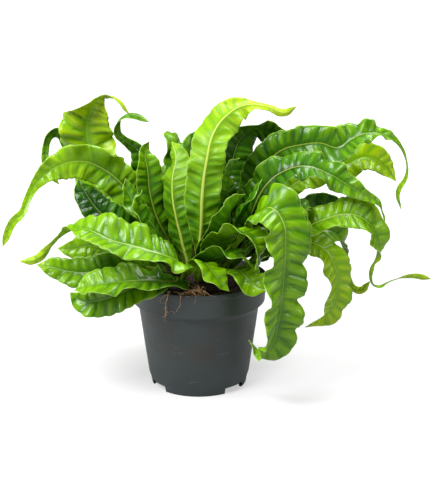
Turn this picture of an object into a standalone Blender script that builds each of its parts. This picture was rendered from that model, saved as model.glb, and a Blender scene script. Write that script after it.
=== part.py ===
"""A curly bird's-nest fern in a plastic nursery pot.

The frame: the origin is the centre of the pot's foot, +Z is up, and the plant's best side faces -Y. A frond is a
ribbon along a curve that rises from the rootstock, rolls about its own midrib on the way, and gets its thickness
last. Sizes are in millimetres times MM.
"""

import math
from collections import namedtuple

import bmesh
import bpy
import numpy as np
from mathutils import Matrix, Vector
from mathutils.bvhtree import BVHTree

MM = 0.001

# Pot, a 17 cm nursery pot.
RIM_RADIUS = 85.0
POT_HEIGHT = 138.0
POT_WALL = 1.5
LIP_HEIGHT = 5.0
COLLAR_FOOT_RADIUS = 82.3
COLLAR_FOOT_HEIGHT = 108.5
BODY_OUTLINE = ((75.5, 101.5), (74.4, 98.0), (67.2, 45.0), (63.0, 15.0))
FOOT_RADIUS = 59.3
FLOOR_HEIGHT = 9.0
CENTRE_PAD_RADIUS = 16.0
TURN_STEPS = 48
NOTCH_AZIMUTHS = (-148.0, -42.0, 90.0)
NOTCH_WIDTH = 31.0
NOTCH_HEIGHT = 7.5
DRAIN_COUNT = 6
DRAIN_RADIUS = 4.5
DRAIN_RING = 43.0

# Soil, rootstock and roots.
GAP = 0.3
MIX_GAP = 0.7
MIX_EDGE_HEIGHT = 125.0
MIX_CROWN_HEIGHT = 129.0
ROOTSTOCK_RADIUS = 46.0
ROOTSTOCK_HEIGHT = 20.0
MIX_BOTTOM_RADIUS = 56.0
ROOT_RADIUS = 0.9
ROOT_RESOLUTION = 3
SURFACE_ROOTS = {
    "surface_root_hanging": ((-26, -59, 130), (-31, -69, 134), (-34, -77, 141), (-35, -81, 138), (-38, -79, 125),
                             (-37, -80, 112)),
    "surface_root_short": ((-14, -60, 131), (-16, -72, 134), (-18, -81, 141), (-20, -86, 138), (-21, -85.5, 128)),
    "surface_root_curled": ((-2, -58, 131), (4, -68, 132), (-4, -76, 136), (-10, -80, 142), (0, -81, 146),
                            (8, -76, 141)),
}

# Fronds.
BLADE_THICKNESS = 1.2
STALK_WIDTH = 6.5
TAIL_WIDTH = 10.0
TIP_WIDTH = 3.0
STALK_SHARES = (0.03, 0.32)
TAIL_SHARES = (-0.16, 0.08)
POINT_FROM = 0.72
TAIL_POINT_FROM = 0.9
POINT_TO = 1.12
BASE_GAP = 1.2
BASE_LEAN_GAP = 1.5
SECTIONS_A_SPAN = 3

# Settling: crossing blades are trimmed and near ones pushed apart, round after round.
CLEARANCE = 2.4
SETTLING_ROUNDS = 14
FINISHING_ROUNDS = 4
LEAST_REACH = 2.6
LEAST_DISTANCE = BLADE_THICKNESS + 2.0 * GAP
TRIM_SLOPE = 0.55
PUSH_SHARE = 0.35
LEAST_PUSH_DISTANCE = 0.05
FREE_FROM = 60.0
SIDES = (-1.0, -0.5, 0.0, 0.5, 1.0)
FINE_SIDES = tuple(side / 5.0 for side in range(-5, 6))

# A frond starts on a ring of the rootstock at an azimuth (0 is +X, 90 is +Y). Its blade is `width` across at its
# widest, and narrows into a tail past the share `tail` of its length. Its route is its midrib's (x, y, z, roll).
RING_RADII = {1: 8.0, 2: 18.0, 3: 28.0, 4: 38.0}
Frond = namedtuple("Frond", "name ring azimuth width tail route")

FRONDS = (
    Frond("frond_centre_tall", 2, -96, 42, 0.8, (
        (4, -36, 210, 0), (6, -40, 256, 0), (11, -38, 292, 0), (19, -30, 321, -5),
        (36, -20, 341, -10), (57, -8, 350, -15), (84, 0, 347, -10), (103, 4, 340, 20), (118, 6, 347, 60))),
    Frond("frond_centre_left_upright", 2, -127, 36, 1.0, (
        (-20, -24, 200, 5), (-28, -24, 234, 10), (-29, -18, 264, 10), (-25, -8, 288, 0), (-32, 8, 304, 0))),
    Frond("frond_centre_back_upright", 1, 110, 36, 1.0, (
        (-4, 20, 223, 0), (-8, 28, 265, 10), (-9, 38, 291, 15), (0, 50, 311, 10))),
    Frond("frond_left_upright", 2, 173, 34, 1.0, (
        (-47, 4, 204, -30), (-58, 4, 240, -50), (-61, 6, 270, -60), (-64, 12, 290, -40), (-60, 22, 302, -20))),
    Frond("frond_left_back_curl", 2, 142, 36, 0.66, (
        (-46, 34, 214, -40), (-64, 38, 257, -60), (-76, 36, 288, -70), (-89, 30, 300, -60),
        (-99, 24, 313, -30), (-92, 20, 331, 20), (-79, 20, 334, 50), (-60, 20, 326, 70))),
    Frond("frond_left_long_strap", 3, 178, 44, 0.7, (
        (-48, 10, 193, -20), (-74, 10, 225, -50), (-93, 6, 252, -72), (-114, 0, 271, -80), (-137, -8, 282, -78),
        (-165, -14, 279, -64), (-189, -18, 263, -58), (-204, -20, 241, -55), (-212, -22, 222, -55),
        (-222, -22, 213, -60), (-237, -22, 181, -65))),
    Frond("frond_left_tall_fold", 3, 156, 66, 0.84, (
        (-75, 46, 190, -30), (-110, 62, 230, -60), (-133, 62, 271, -80), (-140, 56, 300, -80),
        (-134, 48, 330, -70), (-118, 40, 352, -40), (-100, 44, 350, 10), (-85, 48, 330, 30))),
    Frond("frond_left_back_droop", 4, 148, 38, 0.75, (
        (-64, 72, 170, -20), (-112, 96, 231, -30), (-158, 96, 279, -50), (-184, 86, 300, -60),
        (-195, 76, 278, -50), (-190, 70, 253, -30), (-178, 68, 237, 0))),
    Frond("frond_left_dark_broad", 3, -160, 44, 1.0, (
        (-59, -14, 187, -30), (-94, -22, 206, -60), (-120, -24, 228, -70), (-135, -18, 248, -60),
        (-145, -6, 260, -30))),
    Frond("frond_left_inner_low", 3, -138, 40, 1.0, (
        (-48, -32, 176, -20), (-62, -38, 208, -50), (-70, -40, 236, -50), (-66, -34, 254, -30))),
    Frond("frond_left_inner_high", 2, -157, 38, 1.0, (
        (-42, -12, 190, -20), (-68, -14, 222, -50), (-82, -14, 246, -60), (-88, -8, 262, -40))),
    Frond("frond_front_left_broad", 4, -120, 54, 0.72, (
        (-16, -72, 172, -10), (-30, -92, 190, -40), (-52, -98, 199, -55), (-75, -98, 206, -60),
        (-98, -94, 211, -60), (-118, -88, 219, -55), (-138, -80, 221, -45), (-158, -74, 210, -30),
        (-173, -70, 194, -10), (-190, -68, 178, 40), (-210, -66, 175, 70))),
    Frond("frond_left_blunt", 4, 170, 32, 1.0, (
        (-72, -10, 164, -20), (-106, -26, 176, -50), (-130, -34, 185, -60), (-152, -36, 181, -65),
        (-169, -34, 182, -60))),
    Frond("frond_left_pointed", 4, -172, 38, 1.0, (
        (-60, -30, 158, -20), (-91, -46, 163, -40), (-117, -50, 160, -50), (-141, -48, 156, -50),
        (-165, -44, 160, -40), (-194, -40, 163, -20))),
    Frond("frond_left_low_wide", 4, -137, 46, 1.0, (
        (-30, -74, 154, -20), (-55, -88, 161, -30), (-81, -92, 161, -35), (-108, -90, 157, -40),
        (-132, -84, 150, -35), (-145, -80, 143, -10))),
    Frond("frond_left_lowest", 4, -154, 42, 1.0, (
        (-46, -56, 152, -10), (-70, -73, 149, -30), (-94, -80, 139, -50), (-118, -78, 130, -50),
        (-140, -70, 128, -40), (-152, -64, 136, -20))),
    Frond("frond_front_short", 4, -90, 32, 1.0, (
        (8, -76, 178, 0), (16, -92, 175, 10), (25, -98, 163, 15), (37, -100, 149, 10))),
    Frond("frond_front_right_short", 4, -66, 36, 1.0, (
        (46, -60, 164, 0), (57, -76, 161, 20), (67, -84, 152, 30), (82, -86, 145, 30))),
    Frond("frond_front_right_hang", 3, -40, 54, 0.98, (
        (54, -52, 208, 10), (70, -78, 239, 20), (85, -98, 250, 20), (99, -108, 235, 10), (103, -111, 207, 0),
        (102, -110, 176, 0), (100, -108, 142, 0), (96, -102, 105, 0), (88, -94, 76, 0), (76, -88, 68, 0),
        (60, -86, 84, 0))),
    Frond("frond_front_right_curl", 3, -66, 40, 1.0, (
        (25, -60, 196, 0), (39, -80, 215, 10), (54, -98, 222, 10), (67, -108, 211, 10), (71, -110, 192, 0),
        (66, -102, 174, 0))),
    Frond("frond_front_right_under", 3, -90, 42, 1.0, (
        (14, -60, 176, 10), (32, -76, 190, 20), (50, -88, 190, 20), (64, -94, 176, 10))),
    Frond("frond_right_c_loop", 4, -22, 34, 0.98, (
        (92, -46, 184, 20), (121, -56, 198, 30), (147, -58, 191, 45), (163, -58, 169, 55), (168, -54, 136, 55),
        (157, -48, 103, 50), (130, -44, 85, 40))),
    Frond("frond_right_long_twist", 3, -16, 44, 0.7, (
        (84, -30, 200, 20), (122, -38, 208, 30), (147, -42, 220, 40), (175, -42, 228, 45), (198, -38, 221, 50),
        (214, -32, 200, 52), (218, -26, 170, 50), (210, -20, 146, 30), (219, -16, 128, 10),
        (236, -12, 134, -10), (258, -8, 139, -30), (287, -4, 134, -60))),
    Frond("frond_right_mid_twist", 4, -4, 42, 0.76, (
        (94, 0, 172, 20), (131, 2, 186, 30), (162, 6, 194, 40), (180, 10, 176, 20), (183, 12, 152, 0),
        (186, 12, 129, -30), (199, 8, 115, -60), (213, 2, 129, -90))),
    Frond("frond_right_dark_fold", 4, 14, 46, 0.98, (
        (80, 4, 190, 30), (110, -4, 204, 60), (136, -10, 217, 60), (158, -14, 229, 60), (178, -16, 227, 50))),
    Frond("frond_right_mid_arch", 3, 8, 42, 0.82, (
        (60, -12, 214, 20), (79, -22, 256, 40), (102, -32, 278, 22), (128, -36, 285, 14), (153, -38, 277, 16),
        (177, -40, 262, 44), (196, -40, 250, 62), (213, -38, 240, 30), (220, -36, 227, -10),
        (223, -34, 214, -40))),
    Frond("frond_right_long_arch", 2, 14, 44, 0.73, (
        (56, 10, 222, 30), (77, 10, 268, 60), (98, 6, 292, 70), (124, 2, 301, 70), (148, -2, 304, 60),
        (167, -4, 300, 40), (184, -4, 311, 20), (205, -4, 318, 20), (230, 0, 311, 10), (250, 4, 288, 0),
        (253, 6, 262, -20), (244, 8, 240, -30), (249, 10, 219, -40))),
    Frond("frond_right_back_pale", 3, 30, 36, 0.98, (
        (89, 42, 218, 20), (140, 60, 252, 40), (184, 58, 265, 50), (209, 52, 276, 50), (231, 46, 266, 40),
        (246, 42, 247, 20))),
    Frond("frond_right_tip_pale", 3, 52, 32, 1.0, (
        (64, 52, 196, 0), (85, 66, 213, 30), (106, 76, 230, 50), (126, 84, 244, 60))),
    Frond("frond_back_dark_arch", 2, 46, 38, 1.0, (
        (31, 32, 226, 20), (42, 41, 274, 50), (56, 42, 304, 70), (78, 38, 314, 75), (100, 36, 309, 70),
        (120, 36, 301, 50))),
    Frond("frond_inner_right_near", 1, -40, 32, 1.0, (
        (27, -14, 206, 10), (33, -14, 244, 15), (38, -10, 272, 20), (50, -2, 286, 20))),
    Frond("frond_inner_right_low", 2, -34, 34, 1.0, (
        (40, -32, 206, 20), (54, -40, 232, 30), (64, -42, 252, 35), (76, -38, 268, 35))),
    Frond("frond_inner_front", 2, -65, 34, 1.0, (
        (17, -50, 196, 10), (29, -62, 221, 20), (40, -62, 242, 35), (56, -54, 254, 40))),
    Frond("frond_inner_back_right", 1, 35, 30, 1.0, (
        (14, 10, 200, 10), (22, 16, 238, 20), (34, 20, 262, 30))),
    Frond("frond_inner_left_near", 1, -178, 30, 1.0, (
        (-18, 2, 196, -10), (-30, 6, 232, -20), (-36, 10, 262, -20))),
    Frond("frond_right_low_back", 4, 29, 34, 1.0, (
        (60, 26, 168, 20), (84, 33, 176, 40), (104, 34, 171, 50), (120, 32, 158, 40))),
    Frond("frond_right_shoulder", 4, -42, 36, 1.0, (
        (62, -40, 184, 20), (90, -40, 214, 30), (110, -38, 234, 40), (128, -38, 238, 40), (142, -38, 226, 30))),
)

# The fronds that lean away to the back, which follow a rule: (ring, azimuth, reach, height).
BACK_FRONDS = (
    (4, 44, 184, 44), (4, 64, 196, 60), (4, 84, 178, 44), (4, 104, 192, 58), (4, 124, 172, 46),
    (3, 72, 158, 100), (3, 94, 146, 112), (3, 114, 138, 96), (2, 84, 124, 142), (2, 110, 88, 150),
)
BACK_BLADE_WIDTH = 42.0
BACK_ROLL = 26.0
BACK_TAIL = 0.9
BACK_DROOP = 60.0


def blank_scene():
    for obj in list(bpy.data.objects):
        bpy.data.objects.remove(obj)


def new_collection(name):
    collection = bpy.data.collections.new(name)
    bpy.context.scene.collection.children.link(collection)
    return collection


def new_material(name, color, roughness, metallic=0.0):
    material = bpy.data.materials.new(name)
    material.use_nodes = True
    shader = material.node_tree.nodes["Principled BSDF"]
    shader.inputs["Base Color"].default_value = (*color, 1.0)
    shader.inputs["Roughness"].default_value = roughness
    shader.inputs["Metallic"].default_value = metallic
    return material


def add_object(name, data, collection, material=None):
    obj = bpy.data.objects.new(name, data)
    collection.objects.link(obj)
    if material:
        data.materials.append(material)
    return obj


def turned(name, outline, collection, material):
    """A profile of (radius, height) turned round the Z axis."""
    shape = bmesh.new()
    verts = [shape.verts.new((radius * MM, 0.0, height * MM)) for radius, height in outline]
    for start, end in zip(verts, verts[1:]):
        shape.edges.new((start, end))
    mesh = bpy.data.meshes.new(name)
    shape.to_mesh(mesh)
    shape.free()
    obj = add_object(name, mesh, collection, material)
    screw = obj.modifiers.new("turn", "SCREW")
    screw.steps = screw.render_steps = TURN_STEPS
    screw.use_merge_vertices = True
    screw.merge_threshold = 0.00001
    screw.use_smooth_shade = True
    return obj


def cut(obj, cutter, label):
    boolean = obj.modifiers.new(label, "BOOLEAN")
    boolean.operation = "DIFFERENCE"
    boolean.object = cutter
    cutter.hide_render = True
    cutter.display_type = "WIRE"


def rootstock_height(radius):
    """How high the rootstock's rounded top stands at a radius from its middle."""
    return MIX_CROWN_HEIGHT + GAP + ROOTSTOCK_HEIGHT * math.sqrt(1.0 - (radius / ROOTSTOCK_RADIUS) ** 2)


def add_pot(parts, cutters):
    plastic = new_material("pot_plastic", (0.035, 0.042, 0.047), 0.45)
    outline = [
        (RIM_RADIUS, POT_HEIGHT), (RIM_RADIUS, POT_HEIGHT - LIP_HEIGHT), (RIM_RADIUS - 0.9, POT_HEIGHT - 6.5),
        (COLLAR_FOOT_RADIUS, COLLAR_FOOT_HEIGHT), *BODY_OUTLINE, (FOOT_RADIUS + 1.5, 8.0), (FOOT_RADIUS, 0.0),
    ]
    # The wall turns in under the body, rises to the raised floor and dips to a pad that stands on the ground.
    outline += [(FOOT_RADIUS - 3.0, 0.0), (FOOT_RADIUS - 5.0, FLOOR_HEIGHT), (CENTRE_PAD_RADIUS + 9.0, FLOOR_HEIGHT)]
    outline += [(CENTRE_PAD_RADIUS, 0.0), (0.0, 0.0)]
    pot = turned("pot", outline, parts, plastic)
    wall = pot.modifiers.new("wall", "SOLIDIFY")
    wall.thickness = POT_WALL * MM
    wall.offset = -1.0
    wall.use_even_offset = True
    for index, azimuth in enumerate(NOTCH_AZIMUTHS):
        turn = Matrix.Rotation(math.radians(azimuth), 4, "Z")
        place = Matrix.Translation((FOOT_RADIUS * MM, 0.0, 0.0))
        size = Matrix.Diagonal((16.0 * MM, NOTCH_WIDTH * MM, 2.0 * NOTCH_HEIGHT * MM, 1.0))
        shape = bmesh.new()
        bmesh.ops.create_cube(shape, size=1.0, matrix=turn @ place @ size)
        mesh = bpy.data.meshes.new("foot_notch")
        shape.to_mesh(mesh)
        shape.free()
        cut(pot, add_object(f"foot_notch_{index + 1}", mesh, cutters), f"notch_{index + 1}")
    for index in range(DRAIN_COUNT):
        angle = 2.0 * math.pi * (index + 0.5) / DRAIN_COUNT
        bpy.ops.mesh.primitive_cylinder_add(
            vertices=16, radius=DRAIN_RADIUS * MM, depth=8.0 * MM,
            location=(DRAIN_RING * MM * math.cos(angle), DRAIN_RING * MM * math.sin(angle), FLOOR_HEIGHT * MM))
        drain = bpy.context.object
        drain.name = f"drain_{index + 1}"
        bpy.context.collection.objects.unlink(drain)
        cutters.objects.link(drain)
        cut(pot, drain, f"drain_{index + 1}")


def add_potting_mix(parts):
    soil = new_material("potting_mix", (0.045, 0.026, 0.016), 0.95)
    inside = POT_WALL + MIX_GAP
    outline = [
        (0.0, MIX_CROWN_HEIGHT), (40.0, MIX_CROWN_HEIGHT - 1.0), (66.0, MIX_EDGE_HEIGHT + 1.0),
        (RIM_RADIUS - inside - 1.4, MIX_EDGE_HEIGHT), (COLLAR_FOOT_RADIUS - inside - 0.3, COLLAR_FOOT_HEIGHT + 0.5),
    ]
    outline += [(radius - inside - 0.4, height) for radius, height in BODY_OUTLINE]
    outline += [(MIX_BOTTOM_RADIUS - inside, FLOOR_HEIGHT + inside), (0.0, FLOOR_HEIGHT + inside)]
    turned("potting_mix", outline, parts, soil)


def add_rootstock(parts):
    fibre = new_material("rootstock", (0.06, 0.035, 0.02), 0.9)
    dome = [(radius, rootstock_height(radius)) for radius in (0.0, 12.0, 22.0, 30.0, 37.0, 42.0, 45.0)]
    outline = dome + [(ROOTSTOCK_RADIUS, MIX_CROWN_HEIGHT + 2.0), (ROOTSTOCK_RADIUS - 1.0, MIX_CROWN_HEIGHT + GAP)]
    outline.append((0.0, MIX_CROWN_HEIGHT + GAP))
    turned("rootstock", outline, parts, fibre)


def smooth_curve(name, points, collection, resolution):
    """A Bezier curve through points in millimetres, with automatic handles."""
    data = bpy.data.curves.new(name, "CURVE")
    data.dimensions = "3D"
    data.twist_mode = "MINIMUM"
    spline = data.splines.new("BEZIER")
    spline.bezier_points.add(len(points) - 1)
    for knot, point in zip(spline.bezier_points, points):
        knot.co = Vector(point) * MM
        knot.handle_left_type = knot.handle_right_type = "AUTO"
    spline.resolution_u = data.resolution_u = resolution
    return add_object(name, data, collection)


def add_surface_roots(parts):
    fibre = new_material("surface_root", (0.36, 0.16, 0.05), 0.8)
    for name, route in SURFACE_ROOTS.items():
        root = smooth_curve(name, route, parts, ROOT_RESOLUTION)
        root.data.bevel_depth = ROOT_RADIUS * MM
        root.data.bevel_resolution = 1
        root.data.use_fill_caps = True
        root.data.materials.append(fibre)


def blade_width(frond, share):
    """A frond's width at a share of its length: a stalk, a broad blade, then a tail or a point."""
    blade = STALK_WIDTH + (frond.width - STALK_WIDTH) * smoothstep(*STALK_SHARES, share)
    if frond.tail < 1.0:
        narrowing = smoothstep(frond.tail + TAIL_SHARES[0], frond.tail + TAIL_SHARES[1], share)
        blade += (TAIL_WIDTH - blade) * narrowing
    taper_from = POINT_FROM if frond.tail == 1.0 else TAIL_POINT_FROM
    taper = smoothstep(taper_from, POINT_TO, share)
    return blade + (TIP_WIDTH - blade) * taper


def smoothstep(low, high, value):
    share = min(1.0, max(0.0, (value - low) / (high - low)))
    return share * share * (3.0 - 2.0 * share)


def frond_base(ring, azimuth):
    """Where a frond leaves the rootstock, just clear of it."""
    radius = RING_RADII[ring]
    angle = math.radians(azimuth)
    lean = radius / ROOTSTOCK_RADIUS
    height = rootstock_height(radius) + BASE_GAP + BASE_LEAN_GAP * lean
    return radius * math.cos(angle), radius * math.sin(angle), height


def back_frond(index, ring, azimuth, reach, height):
    """A frond that rises, arches over and droops in one direction, with a wave in its roll and its course."""
    angle = math.radians(azimuth)
    outward = Vector((math.cos(angle), math.sin(angle), 0.0))
    sideways = Vector((-math.sin(angle), math.cos(angle), 0.0))
    start = Vector(frond_base(ring, azimuth))
    first = RING_RADII[ring]
    route = []
    for step in range(1, 7):
        share = step / 6.0
        out = first + (reach - first) * share ** 0.9
        rise = height * math.sin(math.pi * min(1.0, 0.72 * share ** 0.8 + 0.03))
        drop = BACK_DROOP * max(0.0, share - 0.5)
        sway = 8.0 * math.sin(2.1 * index + 5.0 * share)
        roll = BACK_ROLL + 16.0 * math.sin(1.7 * index + 6.0 * share)
        place = outward * out + sideways * sway
        route.append((place.x, place.y, start.z + rise - drop, roll))
    return Frond(f"frond_back_{index + 1:02d}", ring, azimuth, BACK_BLADE_WIDTH, BACK_TAIL, tuple(route))


def flat_ribbon(frond, collection):
    """The frond's midrib as a curve object, and the ribbon of unit width that it makes: (sections, 2) points."""
    stations = [(*frond_base(frond.ring, frond.azimuth), 0.0), *frond.route]
    guide = smooth_curve(frond.name, [station[:3] for station in stations], collection, SECTIONS_A_SPAN)
    guide.data.extrude = MM
    edges = ribbon_edges(guide)
    along = Vector(edges[1].mean(axis=0) - edges[0].mean(axis=0)).normalized()
    across = Vector(edges[0][1] - edges[0][0]).normalized()
    angle = math.radians(frond.azimuth)
    level = Vector((math.sin(angle), -math.cos(angle), 0.0))
    level = (level - along * level.dot(along)).normalized()
    offset = math.atan2(across.cross(level).dot(along), across.dot(level))
    for knot, station in zip(guide.data.splines[0].bezier_points, stations):
        knot.tilt = offset + math.radians(station[3])
    return guide, ribbon_edges(guide)


def ribbon_edges(guide):
    bpy.context.view_layer.update()
    mesh = bpy.data.meshes.new_from_object(guide.evaluated_get(bpy.context.evaluated_depsgraph_get()))
    points = np.empty(len(mesh.vertices) * 3)
    mesh.vertices.foreach_get("co", points)
    bpy.data.meshes.remove(mesh)
    return points.reshape(-1, 2, 3) / MM


class Blade:
    """A frond as sections: a centre, a unit vector across, and how far it reaches to its left and right."""

    def __init__(self, frond, collection):
        self.frond = frond
        self.guide, edges = flat_ribbon(frond, collection)
        self.centres = edges.mean(axis=1)
        across = edges[:, 1] - edges[:, 0]
        self.across = across / np.linalg.norm(across, axis=1)[:, None]
        steps = np.linalg.norm(np.diff(self.centres, axis=0), axis=1)
        length = np.concatenate([[0.0], np.cumsum(steps)])
        half = np.array([blade_width(frond, share) / 2.0 for share in length / length[-1]])
        self.reach = np.stack([half, half])
        self.freedom = np.clip(length / FREE_FROM, 0.0, 1.0)

    def point(self, side):
        """The points at -1 (left edge) to 1 (right edge) across every section."""
        reach = self.reach[0] if side < 0 else self.reach[1]
        return self.centres + self.across * (reach * side)[:, None]

    def tree(self):
        corners = np.stack([self.point(-1), self.point(1)], axis=1).reshape(-1, 3)
        quads = [(2 * i, 2 * i + 1, 2 * i + 3, 2 * i + 2) for i in range(len(self.centres) - 1)]
        return BVHTree.FromPolygons([Vector(corner) for corner in corners], quads)

    def box(self, margin):
        corners = np.concatenate([self.point(-1), self.point(1)])
        return corners.min(axis=0) - margin, corners.max(axis=0) + margin


def neighbours(blades, margin):
    """Pairs of blades whose boxes meet."""
    boxes = [blade.box(margin) for blade in blades]
    for i, (low, high) in enumerate(boxes):
        for j in range(i + 1, len(blades)):
            other_low, other_high = boxes[j]
            if (low <= other_high).all() and (other_low <= high).all():
                yield i, j


def crossing_sides(blade, sections, tree):
    """For each section, the side coordinate at which another blade's surface is nearest."""
    found = {}
    for section in sections:
        distances = []
        for side in FINE_SIDES:
            point = Vector(blade.point(side)[section])
            distances.append((tree.find_nearest(point)[3], side))
        found[section] = min(distances)[1]
    return found


def loss(blade, sides):
    """How much of the blade's width a trim at these sides takes, or infinity where it would reach the midrib."""
    total = 0.0
    for section, side in sides.items():
        reach = blade.reach[0 if side < 0 else 1][section]
        if abs(side) * reach - CLEARANCE < LEAST_REACH:
            return math.inf
        total += (1.0 - abs(side)) * reach + CLEARANCE
    return total


def trim(blade, sides):
    for section, side in sides.items():
        row = 0 if side < 0 else 1
        blade.reach[row][section] = abs(side) * blade.reach[row][section] - CLEARANCE
    steps = np.linalg.norm(np.diff(blade.centres, axis=0), axis=1)
    for row in blade.reach:
        for i in range(1, len(row)):
            row[i] = min(row[i], row[i - 1] + TRIM_SLOPE * steps[i - 1])
        for i in range(len(row) - 2, -1, -1):
            row[i] = min(row[i], row[i + 1] + TRIM_SLOPE * steps[i])


def part_crossings(blades):
    """Trims the blades that pass through each other, at the edge that loses least."""
    for i, j in neighbours(blades, 0.0):
        first, second = blades[i].tree(), blades[j].tree()
        touching = first.overlap(second)
        if not touching:
            continue
        in_first = sorted({k for pair in touching for k in (pair[0], pair[0] + 1)})
        in_second = sorted({k for pair in touching for k in (pair[1], pair[1] + 1)})
        first_sides = crossing_sides(blades[i], in_first, second)
        second_sides = crossing_sides(blades[j], in_second, first)
        first_loss, second_loss = loss(blades[i], first_sides), loss(blades[j], second_sides)
        if min(first_loss, second_loss) < math.inf:
            blade, sides = (blades[i], first_sides) if first_loss <= second_loss else (blades[j], second_sides)
            trim(blade, sides)


def push_apart(blades):
    """Moves each section away from the blades nearer than the clearance, smoothly along its length."""
    shifts = [np.zeros_like(blade.centres) for blade in blades]
    trees = [blade.tree() for blade in blades]
    for i, j in neighbours(blades, CLEARANCE):
        for one, other in ((i, j), (j, i)):
            for side in SIDES:
                for section, point in enumerate(blades[one].point(side)):
                    near = trees[other].find_nearest(Vector(point), CLEARANCE)
                    if near[0] is None or near[3] < LEAST_PUSH_DISTANCE:
                        continue
                    away = (point - np.array(near[0])) / near[3]
                    shifts[one][section] += away * PUSH_SHARE * (CLEARANCE - near[3])
    for blade, shift in zip(blades, shifts):
        for _ in range(3):
            shift[1:-1] = (shift[:-2] + 2.0 * shift[1:-1] + shift[2:]) / 4.0
        blade.centres += shift * blade.freedom[:, None]


def trim_close_edges(blades):
    """Takes a little off an edge that still lies too near another blade for their thickness."""
    trees = [blade.tree() for blade in blades]
    for i, j in neighbours(blades, LEAST_DISTANCE):
        for one, other in ((i, j), (j, i)):
            for row, side in enumerate((-1.0, 1.0)):
                reach = blades[one].reach[row]
                for section, point in enumerate(blades[one].point(side)):
                    distance = trees[other].find_nearest(Vector(point), LEAST_DISTANCE)[3]
                    if distance is not None:
                        reach[section] = max(LEAST_REACH, reach[section] - (LEAST_DISTANCE - distance) - GAP)


def settle(blades):
    for _ in range(SETTLING_ROUNDS):
        part_crossings(blades)
        push_apart(blades)
    for _ in range(FINISHING_ROUNDS):
        part_crossings(blades)
        trim_close_edges(blades)


def add_fronds(parts):
    guides = new_collection("frond_guides")
    plants = list(FRONDS)
    plants += [back_frond(index, *row) for index, row in enumerate(BACK_FRONDS)]
    blades = [Blade(frond, guides) for frond in plants]
    settle(blades)
    leaf = new_material("frond_leaf", (0.13, 0.36, 0.02), 0.4)
    for blade in blades:
        evaluated = blade.guide.evaluated_get(bpy.context.evaluated_depsgraph_get())
        mesh = bpy.data.meshes.new_from_object(evaluated)
        corners = np.stack([blade.point(-1), blade.point(1)], axis=1) * MM
        mesh.vertices.foreach_set("co", corners.reshape(-1))
        mesh.materials.clear()
        bpy.data.objects.remove(blade.guide)
        frond = add_object(blade.frond.name, mesh, parts, leaf)
        mesh.shade_smooth()
        body = frond.modifiers.new("thickness", "SOLIDIFY")
        body.thickness = BLADE_THICKNESS * MM
        body.offset = 0.0


def main():
    blank_scene()
    parts = new_collection("potted_fern")
    cutters = new_collection("cutters")
    add_pot(parts, cutters)
    add_potting_mix(parts)
    add_rootstock(parts)
    add_surface_roots(parts)
    add_fronds(parts)


main()
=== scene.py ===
# %% [markdown]
# # A curly bird's-nest fern in a nursery pot
#
# The plain solids of the plant are already packed: a pot, its potting mix, a rootstock, three loose roots
# and the fronds. This lesson keeps every one of them where it is and grows the real surface around it. A
# frond is a wavy, ribbed, glossy blade on a pale midrib, the pot is thin matt plastic that has been
# handled, and the rootstock is a knot of brown scales and fibres.

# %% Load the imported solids
import math
from itertools import combinations

import bmesh
import bpy
import numpy as np
from mathutils import Matrix, Vector, noise
from mathutils.bvhtree import BVHTree


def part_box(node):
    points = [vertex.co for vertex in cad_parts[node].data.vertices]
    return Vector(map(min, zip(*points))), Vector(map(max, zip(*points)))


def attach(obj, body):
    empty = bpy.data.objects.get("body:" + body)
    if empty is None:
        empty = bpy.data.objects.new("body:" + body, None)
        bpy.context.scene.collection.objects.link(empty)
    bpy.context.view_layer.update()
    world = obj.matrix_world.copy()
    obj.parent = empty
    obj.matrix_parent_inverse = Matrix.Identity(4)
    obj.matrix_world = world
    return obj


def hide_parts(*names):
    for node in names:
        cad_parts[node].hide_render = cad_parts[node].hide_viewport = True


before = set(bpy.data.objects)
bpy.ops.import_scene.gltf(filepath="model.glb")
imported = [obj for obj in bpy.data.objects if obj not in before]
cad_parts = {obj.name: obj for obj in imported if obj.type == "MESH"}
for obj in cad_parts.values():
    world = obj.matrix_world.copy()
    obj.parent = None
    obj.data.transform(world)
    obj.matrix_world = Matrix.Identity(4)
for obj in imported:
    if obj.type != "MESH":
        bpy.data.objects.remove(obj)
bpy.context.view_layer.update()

MM = 0.001
FROND_NAMES = sorted(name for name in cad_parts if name.startswith("frond_"))

# %% [markdown]
# ## Camera, light and floor
#
# The plant is seen from its best side, from a little above the fronds, with a long lens that keeps the
# pot's sides nearly parallel. A white room lights it softly from all round. It is bright to the camera and
# dim as a light, so that four lamps shape the plant: the strongest, on the upper left, gives the glossy
# fronds their streaks.

# %% Camera
CAMERA_PLACE = (0.0233, -1.4420, 0.5867)
CAMERA_TILT = math.radians(74)
CAMERA_LENS = 88.58
camera_data = bpy.data.cameras.new("portrait_camera")
camera_data.lens = CAMERA_LENS
camera = bpy.data.objects.new("portrait_camera", camera_data)
camera.location = CAMERA_PLACE
camera.rotation_euler = (CAMERA_TILT, 0, 0)
bpy.context.collection.objects.link(camera)
bpy.context.scene.camera = camera
bpy.context.scene.view_settings.view_transform = "Standard"
print("camera", round(camera.location.length, 2), "m from the pot's foot")


# %% Lamps and room
def softbox(name, place, size, power):
    """A square lamp that faces the middle of the plant."""
    data = bpy.data.lights.new(name, "AREA")
    data.size = size
    data.energy = power
    lamp = bpy.data.objects.new(name, data)
    lamp.location = place
    lamp.rotation_euler = (Vector((0, 0, 0.2)) - lamp.location).to_track_quat("-Z", "Y").to_euler()
    bpy.context.collection.objects.link(lamp)
    return lamp


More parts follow.
